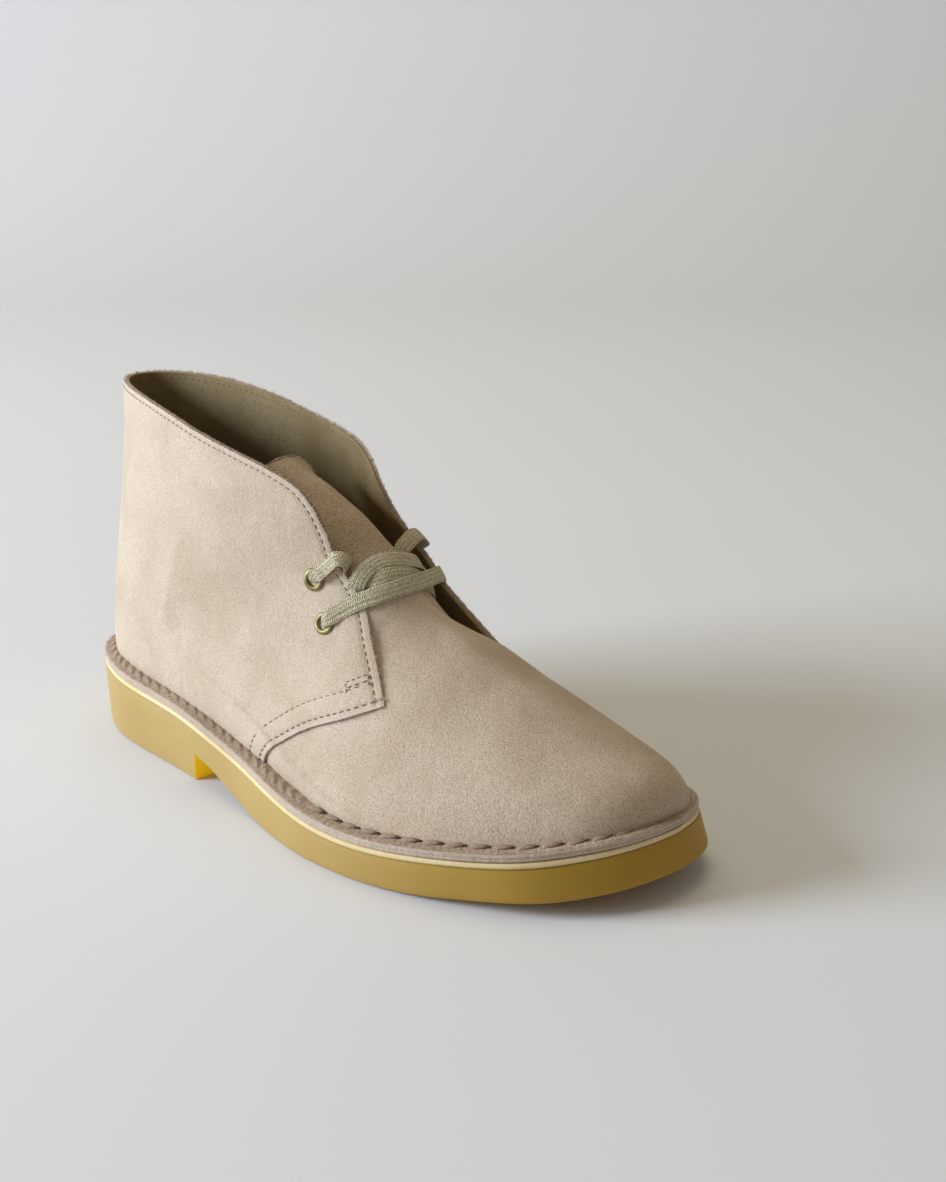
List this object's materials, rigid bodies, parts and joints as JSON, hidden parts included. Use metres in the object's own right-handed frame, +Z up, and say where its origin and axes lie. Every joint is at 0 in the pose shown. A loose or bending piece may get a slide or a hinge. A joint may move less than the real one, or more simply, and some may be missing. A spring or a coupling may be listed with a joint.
{
  "type": "chukka boot",
  "caption": "Ankle-high lace-up chukka boot for the right foot, with a suede upper, a welt and a heeled rubber sole.",
  "frame": {"origin": "centre of the footprint on the floor, at the lowest point of the sole", "axes": "+X towards the toe, along the boot's length; +Y towards the inner side of the foot; +Z up"},
  "size_m": [0.3027, 0.1113, 0.1502],
  "materials": {
    "gum_rubber": "gum rubber, slightly translucent amber, satin moulded side walls",
    "cream_rubber": "pale cream foam rubber, cut edge",
    "suede": "sand-coloured suede, matt napped surface, raw cut edges",
    "lining_leather": "smooth taupe lining leather",
    "lace_cotton": "flat woven cotton lace, sage khaki",
    "eyelet_brass": "antiqued olive brass, satin"
  },
  "bodies": {
    "root": {"outsole": "gum_rubber", "midsole": "cream_rubber", "welt": "suede", "upper": "suede", "tongue": "suede", "insole": "lining_leather", "lace_bar": "lace_cotton", "lace_crossing": "lace_cotton", "eyelet_upper_outer": "eyelet_brass", "eyelet_upper_inner": "eyelet_brass", "eyelet_lower_outer": "eyelet_brass", "eyelet_lower_inner": "eyelet_brass"}
  },
  "joints": []
}
